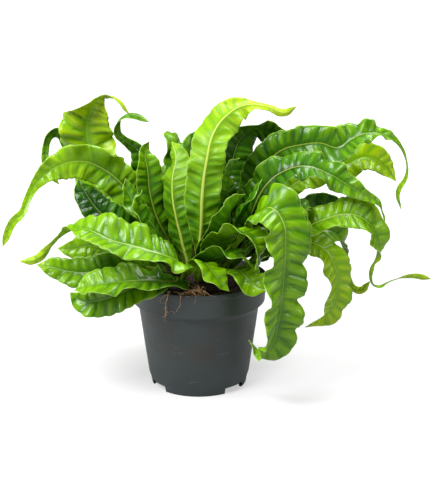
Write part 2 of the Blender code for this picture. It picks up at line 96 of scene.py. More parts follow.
ROOM_STRENGTH = 0.2
BACKDROP_STRENGTH = 1.1
softbox("key_lamp", (-0.8, -0.9, 1.6), 0.9, 52)
softbox("top_lamp", (0.5, 0.4, 1.8), 0.8, 34)
softbox("side_lamp", (1.4, -0.9, 0.8), 0.6, 9)
softbox("edge_lamp", (-1.5, 0.1, 0.5), 0.7, 14)
room = bpy.data.worlds.new("white_room")
room.use_nodes = True
room_light = room.node_tree.nodes["Background"]
room_light.inputs["Color"].default_value = (1, 1, 1, 1)
seen = room.node_tree.nodes.new("ShaderNodeLightPath")
strength = room.node_tree.nodes.new("ShaderNodeMapRange")
strength.inputs["To Min"].default_value = ROOM_STRENGTH
strength.inputs["To Max"].default_value = BACKDROP_STRENGTH
room.node_tree.links.new(seen.outputs["Is Camera Ray"], strength.inputs["Value"])
room.node_tree.links.new(strength.outputs[0], room_light.inputs["Strength"])
bpy.context.scene.world = room
print("4 lamps in a white room of strength", ROOM_STRENGTH)

# %% [markdown]
# ## Formulas as node trees
#
# Both the relief of a frond and its colours are formulas of the same few numbers, so one small class turns
# Python's own `+ - * /` into Math nodes. It works in a geometry tree and in a shader tree alike.


# %% A number that varies over a surface
def feed(tree, socket, value):
    """Gives a socket a fixed value, or links it to another socket."""
    if isinstance(value, Field):
        value = value.socket
    if isinstance(value, bpy.types.NodeSocket):
        tree.links.new(value, socket)
    else:
        socket.default_value = value


def add_node(tree, kind, inputs=None, **settings):
    """A new node. The inputs are given by name or number, and the settings are the node's own properties."""
    made = tree.nodes.new(kind)
    for name, value in settings.items():
        setattr(made, name, value)
    for key, value in (inputs or {}).items():
        feed(tree, made.inputs[key], value)
    return made


class Field:
    """One number of a node tree, which varies over the surface."""

    def __init__(self, tree, socket):
        self.tree = tree
        self.socket = socket

    def math(self, operation, *others, clamp=False):
        made = add_node(self.tree, "ShaderNodeMath", operation=operation, use_clamp=clamp)
        for place, value in enumerate((self, *others)):
            feed(self.tree, made.inputs[place], value)
        return Field(self.tree, made.outputs[0])

    def __add__(self, other):
        return self.math("ADD", other)

    def __sub__(self, other):
        return self.math("SUBTRACT", other)

    def __mul__(self, other):
        return self.math("MULTIPLY", other)

    def __truediv__(self, other):
        return self.math("DIVIDE", other)

    def __pow__(self, other):
        return self.math("POWER", other)

    def __abs__(self):
        return self.math("ABSOLUTE")

    def rest(self):
        """1 less this number."""
        return self * -1 + 1

    def wave(self):
        """A sine wave of this many turns."""
        return (self * math.tau).math("SINE")

    def bell(self, width):
        """1 where this number is 0, and falling away over the width."""
        ratio = self / width
        return (ratio * ratio * -1).math("EXPONENT")

    def ramp(self, start, end):
        """0 up to the start, 1 from the end on, and smooth between."""
        made = add_node(self.tree, "ShaderNodeMapRange", {"Value": self, "From Min": start, "From Max": end},
                        interpolation_type="SMOOTHSTEP")
        return Field(self.tree, made.outputs[0])


def new_tree(name, kind, inputs, outputs):
    """An empty node group with named sockets, given as (name, socket type, default value or None)."""
    tree = bpy.data.node_groups.new(name, kind)
    for direction, sockets in (("INPUT", inputs), ("OUTPUT", outputs)):
        for title, socket_type, default in sockets:
            socket = tree.interface.new_socket(title, in_out=direction, socket_type=socket_type)
            if default is not None:
                socket.default_value = default
    entry = add_node(tree, "NodeGroupInput")
    leave = add_node(tree, "NodeGroupOutput")
    return tree, entry.outputs, leave.inputs


def join(tree, *parts):
    made = add_node(tree, "GeometryNodeJoinGeometry")
    for part in parts:
        tree.links.new(part, made.inputs[0])
    return made.outputs[0]


def end_tree(tree, geometry, material, result):
    """Realizes the instances, gives them their material and hands them over."""
    real = add_node(tree, "GeometryNodeRealizeInstances", {"Geometry": geometry})
    painted = add_node(tree, "GeometryNodeSetMaterial", {"Geometry": real.outputs[0], "Material": material})
    tree.links.new(painted.outputs[0], result)


def link_object(name, mesh, materials=()):
    """A new object at the origin."""
    made = bpy.data.objects.new(name, mesh)
    bpy.context.collection.objects.link(made)
    for material in materials:
        mesh.materials.append(material)
    return made


def apply_modifiers(thing):
    """Turns an object with its modifiers into a plain mesh."""
    graph = bpy.context.evaluated_depsgraph_get()
    final = thing.evaluated_get(graph)
    mesh = bpy.data.meshes.new_from_object(final, preserve_all_data_layers=True, depsgraph=graph)
    thing.modifiers.clear()
    thing.data = mesh
    return thing


def set_inputs(modifier, values):
    """Sets the named inputs of a Geometry Nodes modifier, by each socket's identifier."""
    for item in modifier.node_group.interface.items_tree:
        if item.item_type == "SOCKET" and item.in_out == "INPUT" and item.name in values:
            modifier[item.identifier] = values[item.name]


def finish_piece(thing, node):
    """Puts a finished piece in the place of its plain solid, without any empty material slot."""
    materials = thing.data.materials
    for index in reversed(range(len(materials))):
        if materials[index] is None:
            materials.pop(index=index)
    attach(thing, "root")
    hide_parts(node)


def triangle_count(thing):
    thing.data.calc_loop_triangles()
    return len(thing.data.loop_triangles)


print("node helpers ready")

# %% [markdown]
# ## Reading a frond back from its solid
#
# Each packed frond is a flat ribbon of even thickness: every corner has a partner straight through the
# blade. A pair's middle lies on the blade's left or right edge, and the triangles of the ribbon's narrow
# sides touch just two such middles, so they give the outline in order. The outline has two ends that can be
# laddered across from start to finish, and the end nearer the crown is the frond's base.

# %% The two edges of a frond
BLADE_SOLID = 1.2 * MM
rootstock_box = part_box("rootstock")
CROWN = np.array([0, 0, rootstock_box[1].z])


def merged_mesh(name):
    """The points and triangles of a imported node, with its loose triangles joined."""
    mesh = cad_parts[name].data
    mesh.calc_loop_triangles()
    points = np.empty(len(mesh.vertices) * 3, np.float32)
    mesh.vertices.foreach_get("co", points)
    corners = np.empty(len(mesh.loop_triangles) * 3, np.int32)
    mesh.loop_triangles.foreach_get("vertices", corners)
    points = points.reshape(-1, 3).astype(float)
    _, first, index = np.unique(np.round(points, 6), axis=0, return_index=True, return_inverse=True)
    return points[first], index.reshape(-1)[corners.reshape(-1, 3)]


def edge_lines(name):
    """The points along the two edges of a frond's ribbon, from its base to its tip."""
    points, triangles = merged_mesh(name)
    miss = abs(np.linalg.norm(points[:, None] - points[None], axis=2) - BLADE_SOLID)
    np.fill_diagonal(miss, 1)
    partner = miss.argmin(axis=1)
    pair = np.minimum(np.arange(len(points)), partner)
    joined, outline = set(), {}
    for triangle in pair[triangles]:
        corners = sorted(set(triangle.tolist()))
        joined.update(combinations(corners, 2))
        if len(corners) == 2:
            outline.setdefault(corners[0], set()).add(corners[1])
            outline.setdefault(corners[1], set()).add(corners[0])
    start = min(outline)
    walk = [start, min(outline[start])]
    while len(walk) < len(outline):
        walk.append((outline[walk[-1]] - {walk[-2]}).pop())
    count = len(walk) // 2
    best = None
    for turn in range(len(walk)):
        left = [walk[(turn - i) % len(walk)] for i in range(count)]
        right = [walk[(turn + 1 + i) % len(walk)] for i in range(count)]
        if all(tuple(sorted(rung)) in joined for rung in zip(left, right)):
            lines = [(points[side] + points[partner[side]]) / 2 for side in (left, right)]
            away = np.linalg.norm((lines[0][0] + lines[1][0]) / 2 - CROWN)
            if best is None or away < best[0]:
                best = (away, *lines)
    return best[1], best[2]


EDGES = {name: edge_lines(name) for name in FROND_NAMES}
print("sections of the longest frond:", max(len(lines[0]) for lines in EDGES.values()))

# %% [markdown]
# ## A fine sheet for each frond
#
# The ribbon's sections lie well apart. A smooth curve through them gives a section every 2 mm, and each
# section gets a row of points that lie closer together at the midrib. The sheet carries what the relief and
# the colours need: how far along and across the blade a point is, the blade's own directions, and how much
# room there is before the next frond.

# %% Sections along a frond
SECTION_STEP = 2.0 * MM
HALF_COLUMNS = 9
TIP_FADE = 11.0 * MM
ROOTED_DEPTH = 5.0 * MM
SIDE_ROW = 4
INWARD_RISE = 40 * MM
COLUMN_SIDES = ((-1, range(HALF_COLUMNS, 0, -1)), (1, range(HALF_COLUMNS + 1)))
COLUMNS = [side * (step / HALF_COLUMNS) ** 1.3 for side, steps in COLUMN_SIDES for step in steps]


def unit(vectors):
    return vectors / np.linalg.norm(vectors, axis=-1, keepdims=True)


def smooth_line(points, places, wanted):
    """Points of a Catmull-Rom curve through `points`, at each of the `wanted` places along it."""
    slope = np.gradient(points, places, axis=0)
    index = np.clip(np.searchsorted(places, wanted, side="right") - 1, 0, len(places) - 2)
    span = (places[index + 1] - places[index])[:, None]
    t = (wanted - places[index])[:, None] / span
    start, end = points[index], points[index + 1]
    return ((2 * t**3 - 3 * t**2 + 1) * start + (t**3 - 2 * t**2 + t) * span * slope[index]
            + (3 * t**2 - 2 * t**3) * end + (t**3 - t**2) * span * slope[index + 1])


def frond_frame(name):
    """The midline, sideways and outward directions, half widths and places along a frond."""
    left, right = EDGES[name]
    middle = (left + right) / 2
    steps = np.linalg.norm(np.diff(middle, axis=0), axis=1)
    places = np.concatenate([[0], np.cumsum(steps)])
    wanted = np.linspace(0, places[-1], max(12, round(places[-1] / SECTION_STEP)))
    left, right = smooth_line(left, places, wanted), smooth_line(right, places, wanted)
    root = middle[0] - unit(middle[1] - middle[0]) * ROOTED_DEPTH
    half = np.linalg.norm(right - left, axis=1) / 2
    half *= np.clip((wanted[-1] - wanted) / TIP_FADE, 0.03, 1) ** 0.7
    middle, sideways = (left + right) / 2, unit(right - left)
    middle = np.vstack([root, middle])
    sideways = np.vstack([sideways[:1], sideways])
    half = np.concatenate([half[:1], half])
    along = np.concatenate([[-ROOTED_DEPTH], wanted])
    outward = unit(np.cross(np.gradient(middle, axis=0), sideways))
    facing_in = -middle[SIDE_ROW] * (1, 1, 0) + (0, 0, INWARD_RISE)
    if outward[SIDE_ROW] @ facing_in < 0:
        sideways, outward = -sideways, -outward
    return middle, sideways, outward, half, along


FRAMES = {name: frond_frame(name) for name in FROND_NAMES}
print("longest frond", round(max(parts[4][-1] for parts in FRAMES.values()) / MM), "mm along its midrib")


# %% Room around each frond
def tree_of(names):
    """The joined plain solids of some nodes, ready for finding the nearest point."""
    corners, faces = [], []
    for name in names:
        points, triangles = merged_mesh(name)
        faces += (triangles + len(corners)).tolist()
        corners += points.tolist()
    return BVHTree.FromPolygons(corners, faces)


ROOM_COLUMNS = (-1.0, -0.5, 0.0, 0.5, 1.0)
WALL_ALLOWANCE = 1.2 * MM
LEAST_ROOM = 0.5 * MM
MOST_ROOM = 12.0 * MM


def room_beside(name):
    """How far each part of a frond may swell: half the gap to whatever is next to it."""
    others = tree_of([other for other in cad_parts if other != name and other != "rootstock"])
    middle, sideways, _, half, _ = FRAMES[name]
    room = np.empty((len(middle), len(ROOM_COLUMNS)))
    for row in range(len(middle)):
        for column, across in enumerate(ROOM_COLUMNS):
            place = middle[row] + sideways[row] * half[row] * across
            room[row, column] = others.find_nearest(place.tolist())[3]
    room = np.clip((room - WALL_ALLOWANCE) / 2, LEAST_ROOM, MOST_ROOM)
    for _ in range(4):
        padded = np.pad(room, ((1, 1), (0, 0)), mode="edge")
        room = np.minimum(room, (padded[:-2] + 2 * room + padded[2:]) / 4)
    return room


ROOMS = {name: room_beside(name) for name in FROND_NAMES}
print("median room beside a frond", round(float(np.median(np.vstack(list(ROOMS.values())))) / MM, 1), "mm")

# %% [markdown]
# ## How old each frond is, and its painted shade
#
# A fern's newest fronds are a bright yellow green and its oldest are a deep, bluish green, and along every
# frond the tip is younger than the foot. The fronds inside the plant, and the feet of the central ones, are
# set deeper as painted shade of the plant's interior. Two numbers say it: the tone at the foot and at the
# tip, 0 for the deepest green and 1 for the brightest. A third says how pale the midrib is, since only the
# upright ones show it clearly.

# %% Frond tones and painted shade
PALE_RIBS = {"frond_centre_tall": 1.0, "frond_centre_left_upright": 0.9, "frond_left_upright": 0.5}
THIN_RIB = 0.12
# Each frond's own tones. The deep feet of the central fronds are painted shade of the plant's interior.
AGE_AND_SHADE_TONES = {
    "frond_centre_tall": (0.1, 1.2), "frond_centre_left_upright": (0.05, 0.65),
    "frond_centre_back_upright": (0.1, 0.5), "frond_left_upright": (0.15, 0.65),
    "frond_left_back_curl": (0.05, 0.35), "frond_left_long_strap": (0.5, 0.9),
    "frond_left_tall_fold": (0.6, 1.1), "frond_left_back_droop": (0.1, 0.45),
    "frond_left_dark_broad": (0.0, 0.15), "frond_left_inner_high": (0.2, 0.4),
    "frond_left_inner_low": (0.15, 0.5), "frond_front_left_broad": (0.45, 0.8),
    "frond_left_blunt": (0.4, 0.8), "frond_left_pointed": (0.3, 0.7), "frond_left_low_wide": (0.3, 0.6),
    "frond_left_lowest": (0.4, 0.6), "frond_front_short": (0.45, 0.75),
    "frond_front_right_short": (0.5, 0.75),
    "frond_front_right_hang": (0.5, 0.55), "frond_front_right_curl": (0.4, 0.65),
    "frond_front_right_under": (0.15, 0.4), "frond_right_c_loop": (0.6, 0.9),
    "frond_right_long_twist": (0.5, 0.85), "frond_right_mid_twist": (0.35, 0.85),
    "frond_right_dark_fold": (0.1, 0.3), "frond_right_mid_arch": (0.05, 0.6),
    "frond_right_long_arch": (0.2, 0.65), "frond_right_back_pale": (0.5, 0.95),
    "frond_right_tip_pale": (0.5, 0.95), "frond_back_dark_arch": (0.1, 0.45),
    "frond_right_low_back": (0.1, 0.4),
}
# Inner fronds are set deep, partly for being old and partly as painted shade of the plant's interior.
INNER_AGE_AND_SHADE_TONE = (0.0, 0.32)
BACK_TONE = (0.15, 0.75)
TONE_BEND = 1.4


def age_and_shade_tone(name):
    """The tone at a frond's foot and at its tip."""
    by_place = BACK_TONE if name.startswith("frond_back_") else INNER_AGE_AND_SHADE_TONE
    return AGE_AND_SHADE_TONES.get(name, by_place)


print(len(AGE_AND_SHADE_TONES), "fronds have a tone of their own")


# %% The sheet of a frond
def add_attribute(mesh, name, kind, values):
    layer = mesh.attributes.new(name, kind, "POINT")
    field = "vector" if kind == "FLOAT_VECTOR" else "value"
    layer.data.foreach_set(field, np.ravel(values).astype(np.float32))


def frond_sheet(name):
    """A grid over a frond, with what the relief and the colours read."""
    middle, sideways, outward, half, along = FRAMES[name]
    columns = np.array(COLUMNS)
    rows, width = len(middle), len(columns)
    points = middle[:, None] + sideways[:, None] * (half[:, None] * columns)[:, :, None]
    first = (np.arange(rows - 1)[:, None] * width + np.arange(width - 1)).ravel()
    faces = np.stack([first, first + width, first + width + 1, first + 1], axis=1)
    mesh = bpy.data.meshes.new(name + "_blade")
    mesh.from_pydata(points.reshape(-1, 3).tolist(), [], faces.tolist())
    share = np.clip(along / along[-1], 0, 1)
    foot_tone, tip_tone = age_and_shade_tone(name)
    room = np.array([np.interp(columns, ROOM_COLUMNS, row) for row in ROOMS[name]])
    tone = foot_tone + (tip_tone - foot_tone) * share ** TONE_BEND
    by_row = {"along": along, "share": share, "half_width": half, "tone": tone}
    for title, values in by_row.items():
        add_attribute(mesh, title, "FLOAT", np.repeat(values, width))
    add_attribute(mesh, "rib", "FLOAT", np.full(rows * width, PALE_RIBS.get(name, THIN_RIB)))
    add_attribute(mesh, "across", "FLOAT", np.tile(columns, rows))
    add_attribute(mesh, "room", "FLOAT", room)
    add_attribute(mesh, "outward", "FLOAT_VECTOR", np.repeat(outward, width, axis=0))
    add_attribute(mesh, "sideways", "FLOAT_VECTOR", np.repeat(sideways, width, axis=0))
    return mesh


print("a row of", len(COLUMNS), "points crosses each frond")

# %% [markdown]
# ## The relief of a frond
#
# A blade rises from its midrib as a shallow gutter, is pleated by folds that run out to the margin, and is
# frilled along the margin, where it has grown longer than its midrib. On the stalk the midrib is a stout
# keel. A Geometry Nodes tree writes this as one formula for all fronds. It also gives the sheet its two
# faces, thicker at the midrib than at the margin.

# %% The tree that shapes a frond
FROND_INPUTS = (
    ("Sheet", "NodeSocketGeometry", None),
    ("Seed", "NodeSocketFloat", 0.0),
    ("Fold Spacing", "NodeSocketFloat", 15.0 * MM),
    ("Fold Height", "NodeSocketFloat", 3.2 * MM),
    ("Frill Length", "NodeSocketFloat", 40.0 * MM),
    ("Frill Height", "NodeSocketFloat", 7.0 * MM),
    ("Gutter Slope", "NodeSocketFloat", 0.3),
    ("Curl", "NodeSocketFloat", 0.35),
    ("Blade Thickness", "NodeSocketFloat", 0.7 * MM),
    ("Midrib Height", "NodeSocketFloat", 0.9 * MM),
    ("Keel Depth", "NodeSocketFloat", 2.6 * MM),
    ("Leaf", "NodeSocketMaterial", None),
)
FOLD_SWEEP = 0.35
WELD_DISTANCE = 0.002 * MM


def named(tree, name, kind="FLOAT"):
    """An attribute of the sheet."""
    made = add_node(tree, "GeometryNodeInputNamedAttribute", {"Name": name}, data_type=kind)
    return made.outputs["Attribute"]


def stored(tree, geometry, name, value, domain="POINT", selection=True):
    """The geometry with one more attribute."""
    made = add_node(tree, "GeometryNodeStoreNamedAttribute",
                    {"Geometry": geometry, "Name": name, "Value": value, "Selection": selection},
                    data_type="FLOAT", domain=domain)
    return made.outputs["Geometry"]


def pushed(tree, geometry, direction, distance, selection=True):
    """The geometry with its points moved along a direction."""
    step = add_node(tree, "ShaderNodeVectorMath", {"Vector": direction, "Scale": distance}, operation="SCALE")
    made = add_node(tree, "GeometryNodeSetPosition",
                    {"Geometry": geometry, "Offset": step.outputs["Vector"], "Selection": selection})
    return made.outputs["Geometry"]


def wander(tree, x, y, z):
    """A smooth number from about -1 to 1 that drifts with x, y and z."""
    place = add_node(tree, "ShaderNodeCombineXYZ", {0: x, 1: y, 2: z})
    made = add_node(tree, "ShaderNodeTexNoise", {"Vector": place.outputs[0], "Scale": 1.0, "Detail": 1.0})
    return (Field(tree, made.outputs[0]) - 0.5) * 4


def frond_relief_tree():
    tree, given, result = new_tree("frond_relief", "GeometryNodeTree", FROND_INPUTS,
                                   (("Frond", "NodeSocketGeometry", None),))
    across, along, half, room, share = (Field(tree, named(tree, name))
                                        for name in ("across", "along", "half_width", "room", "share"))
    outward, sideways = named(tree, "outward", "FLOAT_VECTOR"), named(tree, "sideways", "FLOAT_VECTOR")
    seed = Field(tree, given["Seed"])
    edge = abs(across)
    side = across.math("SIGN")
    reach = edge * half
    lamina = half.ramp(3.6 * MM, 13 * MM)

    fold_turns = (along - reach * FOLD_SWEEP) / given["Fold Spacing"]
    fold_turns = fold_turns + wander(tree, along * 22, side * 0.4, seed) * 0.7
    ridge = abs((fold_turns * 0.5).wave()) ** 0.75
    small = (fold_turns * 2.3 + wander(tree, along * 40, side, seed + 9)).wave()
    depth = wander(tree, along * 16, side, seed + 21) * 0.4 + 0.85
    pleat = ((ridge - 0.62) + small * 0.14) * edge.ramp(0.02, 0.4) * edge.ramp(1.35, 0.8)
    pleat = pleat * depth * given["Fold Height"] * lamina
    frill_turns = along / given["Frill Length"] + wander(tree, along * 14, side * 3, seed + 31) * 0.5
    frill_turns = frill_turns + side * 0.17
    swing = wander(tree, along * 18, side * 5, seed + 57) * 0.3 + 0.8
    frill = frill_turns.wave() * swing * edge ** 2.3 * given["Frill Height"] * half.ramp(3 * MM, 17 * MM)
    gutter = (edge - 0.5) * half * given["Gutter Slope"]
    curl = wander(tree, along * 9, side * 4, seed + 101) * edge ** 2 * half * given["Curl"]
    raised = pleat + frill + gutter + curl
    crowding = raised / room
    raised = raised / (crowding * crowding + 1).math("SQRT")

    rib = reach.bell(1.3 * MM) * given["Midrib Height"] * share.rest()
    stalk = share.ramp(0.55, 0.0)
    keel = reach.bell(2.4 * MM) * given["Keel Depth"] * (stalk * 0.75 + 0.25) * share.ramp(1.02, 0.7)
    skin = (edge ** 3 * -0.5 + 1) * given["Blade Thickness"]

    # The stored number is 1 on a fold's crest. The leaf colour uses it to paint the crests lighter and the
    # creases darker, as painted light and shade of the folds.
    sheet = stored(tree, given["Sheet"], "painted_fold_shade", ridge * edge.ramp(0.0, 0.3))
    bulge = (wander(tree, along * 45, side * 9, seed + 77) * 0.07 + (ridge - 0.6) * 0.08) * edge ** 2 * half
    sheet = pushed(tree, sheet, sideways, bulge * side)
    lower = pushed(tree, sheet, outward, raised - skin * 0.5 - keel)
    thick = add_node(tree, "GeometryNodeExtrudeMesh",
                     {"Mesh": lower, "Offset Scale": 0.0, "Individual": False})
    upper = pushed(tree, thick.outputs["Mesh"], outward, skin + keel + rib, thick.outputs["Top"])
    under = add_node(tree, "GeometryNodeFlipFaces", {"Mesh": stored(tree, lower, "underside", 1.0, "FACE")})
    both = join(tree, under.outputs[0], upper)
    closed = add_node(tree, "GeometryNodeMergeByDistance", {"Geometry": both, "Distance": WELD_DISTANCE})
    smooth = add_node(tree, "GeometryNodeSetShadeSmooth", {"Geometry": closed.outputs[0]})
    end_tree(tree, smooth.outputs[0], given["Leaf"], result["Frond"])
    return tree


frond_relief = frond_relief_tree()
print("the frond tree has", len(frond_relief.nodes), "nodes")

# %% [markdown]
# ## The leaf surface
#
# A frond's colour goes from deep green when old to bright green when young. The crests of the folds are
# painted lighter than the creases, as painted light and shade of the folds. Fine veins run out beside the
# folds, the midrib is a pale yellow line that widens to the stalk, and the margin is edged with a thin pale
# line. The underside is paler and duller. The skin is waxy, so it is glossy.


# %% Colours of the leaf
def mixed(tree, share, first, second):
    """The first colour at share 0 and the second at share 1."""
    made = add_node(tree, "ShaderNodeMix", data_type="RGBA", clamp_factor=True)
    colours = [socket for socket in made.inputs if socket.type == "RGBA"]
    feed(tree, made.inputs[0], share)
    feed(tree, colours[0], first)
    feed(tree, colours[1], second)
    return next(socket for socket in made.outputs if socket.type == "RGBA")


def attribute(tree, name):
    return Field(tree, add_node(tree, "ShaderNodeAttribute", attribute_name=name).outputs["Fac"])


DEEP_GREEN = (0.007, 0.045, 0.001, 1)
MID_GREEN = (0.040, 0.148, 0.001, 1)
FRESH_GREEN = (0.155, 0.335, 0.001, 1)
YOUNG_GREEN = (0.340, 0.500, 0.003, 1)
RIB_COLOUR = (0.480, 0.560, 0.090, 1)
MARGIN_COLOUR = (0.320, 0.500, 0.060, 1)
LEAF_COLOURS = (("Deep", DEEP_GREEN), ("Mid", MID_GREEN), ("Fresh", FRESH_GREEN), ("Young", YOUNG_GREEN),
                ("Rib", RIB_COLOUR), ("Margin", MARGIN_COLOUR))


def leaf_colour_tree():
    """Turns a point's place on its blade into a colour, a roughness and a height."""
    inputs = [(name, "NodeSocketColor", colour) for name, colour in LEAF_COLOURS]
    inputs += [("Vein Spacing", "NodeSocketFloat", 1.7 * MM), ("Pleat Spacing", "NodeSocketFloat", 6.5 * MM),
               ("Place", "NodeSocketVector", None)]
    outputs = (("Color", "NodeSocketColor", None), ("Roughness", "NodeSocketFloat", None),
               ("Height", "NodeSocketFloat", None))
    tree, given, result = new_tree("leaf_surface", "ShaderNodeTree", inputs, outputs)
    across, along, half, share, tone, painted_fold_shade, under, rib = (
        attribute(tree, name)
        for name in ("across", "along", "half_width", "share", "tone", "painted_fold_shade", "underside", "rib"))
    edge = abs(across)
    reach = edge * half
    cloud = add_node(tree, "ShaderNodeTexNoise", {"Vector": given["Place"], "Scale": 22.0, "Detail": 2.0})
    mottle = Field(tree, cloud.outputs[0]) - 0.5
    sweep = along - reach * FOLD_SWEEP
    pleat = abs((sweep / given["Pleat Spacing"] * 0.5 + mottle * 2).wave())
    # Here the fold and pleat crests are painted lighter and the creases darker, as painted light and shade.
    tone_with_fold_shade = tone + mottle * 0.65 + (painted_fold_shade - 0.6) * 0.28 + (pleat - 0.6) * 0.08 + under * 0.12
    colour = mixed(tree, tone_with_fold_shade.ramp(0.0, 0.35), given["Deep"], given["Mid"])
    colour = mixed(tree, tone_with_fold_shade.ramp(0.3, 0.75), colour, given["Fresh"])
    colour = mixed(tree, tone_with_fold_shade.ramp(0.72, 1.1), colour, given["Young"])
    vein = (sweep / given["Vein Spacing"] + mottle * 2).wave()
    rib_width = (share.ramp(0.9, 0.0) * 1.9 * MM + 0.4 * MM) * (rib * 0.6 + 0.4)
    on_rib = (reach / rib_width).ramp(1.25, 0.75)
    near_rib = (reach / rib_width).ramp(5.0, 1.0)
    colour = mixed(tree, near_rib * rib * 0.3, colour, given["Fresh"])
    colour = mixed(tree, on_rib * (rib * 0.5 + 0.4), colour, given["Rib"])
    on_margin = (half - reach).ramp(0.9 * MM, 0.3 * MM)
    colour = mixed(tree, on_margin * 0.7, colour, given["Margin"])
    feed(tree, result["Color"], colour)
    feed(tree, result["Roughness"], mottle * 0.2 + under * 0.12 + on_rib * 0.1 + 0.28)
    pleated = pleat * edge.ramp(0.0, 0.25) * edge.ramp(1.1, 0.75) * (mottle * 2.5 + 0.7)
    feed(tree, result["Height"], pleated + vein * on_rib.rest() * 0.06 + mottle * 0.4)
    return tree


def new_material(name, **constants):
    """A material with fixed numbers set on its shader, as material, tree, shader and object coordinates."""
    material = bpy.data.materials.new(name)
    material.use_nodes = True
    tree = material.node_tree
    shader = tree.nodes["Principled BSDF"]
    for title, value in constants.items():
        shader.inputs[title.replace("_", " ")].default_value = value
    place = add_node(tree, "ShaderNodeTexCoord").outputs["Object"]
    return material, tree, shader, place


def wire_surface(tree, shader, colour, roughness, height, depth):
    """Feeds a pattern to the shader, with its height as a bump of the given depth."""
    bump = add_node(tree, "ShaderNodeBump", {"Height": height, "Distance": depth, "Strength": 1.0})
    feed(tree, shader.inputs["Base Color"], colour)
    feed(tree, shader.inputs["Roughness"], roughness)
    feed(tree, shader.inputs["Normal"], bump.outputs[0])


leaf, leaf_nodes, leaf_shader, leaf_place = new_material("frond_leaf", IOR=1.36)
leaf_pattern = add_node(leaf_nodes, "ShaderNodeGroup", node_tree=leaf_colour_tree())
feed(leaf_nodes, leaf_pattern.inputs["Place"], leaf_place)
wire_surface(leaf_nodes, leaf_shader, *[leaf_pattern.outputs[i] for i in range(3)], 0.3 * MM)
print("the leaf surface mixes", len(LEAF_COLOURS), "colours")

# %% [markdown]
# ## Growing the fronds
#
# Every frond goes through the same tree with a seed of its own, so that no two are folded alike. Broad
# fronds have wide, deep folds, and narrow ones have small ones.

# %% Grow each frond
SEED_STEP = 3.7


def grow_frond(number, name):
    frond = link_object("leaf_" + name[len("frond_"):], frond_sheet(name))
    broad = FRAMES[name][3].max() / (25 * MM)
    relief = frond.modifiers.new("relief", "NODES")
    relief.node_group = frond_relief
    set_inputs(relief, {
        "Seed": number * SEED_STEP, "Fold Spacing": (9 + 4 * broad) * MM, "Fold Height": 4 * broad * MM,
        "Frill Length": (30 + 18 * broad) * MM, "Frill Height": 11 * broad * MM, "Curl": 0.6, "Leaf": leaf,
    })
    apply_modifiers(frond)
    finish_piece(frond, name)
    return frond


FRONDS = [grow_frond(number, name) for number, name in enumerate(FROND_NAMES)]
print(sum(triangle_count(frond) for frond in FRONDS), "triangles in", len(FRONDS), "fronds")

# %% [markdown]
# ## Patches, grains and fibres
#
# Dust on the pot, grains in the mix and fibres on the roots are the same thing at different scales: a noise
# with soft thresholds. One node group makes such a mask and a matching height, and each material places it
# with its own scale, threshold and stretch.


# %% The patch group
def patch_tree():
    inputs = (("Place", "NodeSocketVector", None), ("Scale", "NodeSocketFloat", 60.0),
              ("Cover", "NodeSocketFloat", 0.5), ("Softness", "NodeSocketFloat", 0.15),
              ("Stretch", "NodeSocketVector", (1.0, 1.0, 1.0)))
    outputs = (("Mask", "NodeSocketFloat", None), ("Height", "NodeSocketFloat", None))
    tree, given, result = new_tree("patches", "ShaderNodeTree", inputs, outputs)
    stretched = add_node(tree, "ShaderNodeVectorMath", {0: given["Place"], 1: given["Stretch"]},
                         operation="MULTIPLY")
    cloud = add_node(tree, "ShaderNodeTexNoise",
                     {"Vector": stretched.outputs[0], "Scale": given["Scale"], "Detail": 5.0,
                      "Roughness": 0.6})
    value = Field(tree, cloud.outputs[0])
    threshold = Field(tree, given["Cover"]) * -0.5 + 0.75
    soft = Field(tree, given["Softness"])
    feed(tree, result["Mask"], value.ramp(threshold - soft, threshold + soft))
    feed(tree, result["Height"], value)
    return tree


patches = patch_tree()


def patch(tree, place, **values):
    """The mask and the height of one set of patches."""
    made = add_node(tree, "ShaderNodeGroup", node_tree=patches)
    feed(tree, made.inputs["Place"], place)
    for name, value in values.items():
        made.inputs[name].default_value = value
    return Field(tree, made.outputs["Mask"]), Field(tree, made.outputs["Height"])


print("patch group ready")

# %% [markdown]
# ## Handled plastic
#
# The plastic is a slate grey with a fine moulded grain. Watering and handling leave a brown bloom of soil
# on the body's front and below the collar, pale scuffs where pots have rubbed together, and specks of soil.

# %% The pot's finish
plastic, plastic_nodes, plastic_shader, plastic_place = new_material("handled_plastic", IOR=1.49)
PLASTIC_COLOUR = (0.030, 0.041, 0.042, 1)
BLOOM_COLOUR = (0.070, 0.040, 0.026, 1)
SCUFF_COLOUR = (0.110, 0.120, 0.120, 1)
bloom, _ = patch(plastic_nodes, plastic_place, Scale=26.0, Cover=0.42, Softness=0.16)
scuff, _ = patch(plastic_nodes, plastic_place, Scale=40.0, Cover=0.14, Softness=0.05, Stretch=(1.0, 1.0, 5.0))
speck, _ = patch(plastic_nodes, plastic_place, Scale=420.0, Cover=0.18, Softness=0.04)
_, grain = patch(plastic_nodes, plastic_place, Scale=900.0)
split = add_node(plastic_nodes, "ShaderNodeSeparateXYZ", {0: plastic_place})
height = Field(plastic_nodes, split.outputs["Z"])
front = Field(plastic_nodes, split.outputs["Y"]) * -1
body = height.ramp(30 * MM, 60 * MM) * height.ramp(128 * MM, 88 * MM) * (front.ramp(0.0, 70 * MM) * 0.8 + 0.2)
collar = height.ramp(118 * MM, 134 * MM) * 0.5
dirt = bloom * body.math("MAXIMUM", collar)
paint = mixed(plastic_nodes, dirt * 0.3, PLASTIC_COLOUR, BLOOM_COLOUR)
paint = mixed(plastic_nodes, scuff * 0.5, paint, SCUFF_COLOUR)
paint = mixed(plastic_nodes, speck * (dirt + 0.15) * 0.7, paint, BLOOM_COLOUR)
wire_surface(plastic_nodes, plastic_shader, paint, dirt * 0.25 + scuff * 0.12 + grain * 0.1 + 0.36,
             grain * 0.35 + speck * dirt * 0.6, 0.1 * MM)
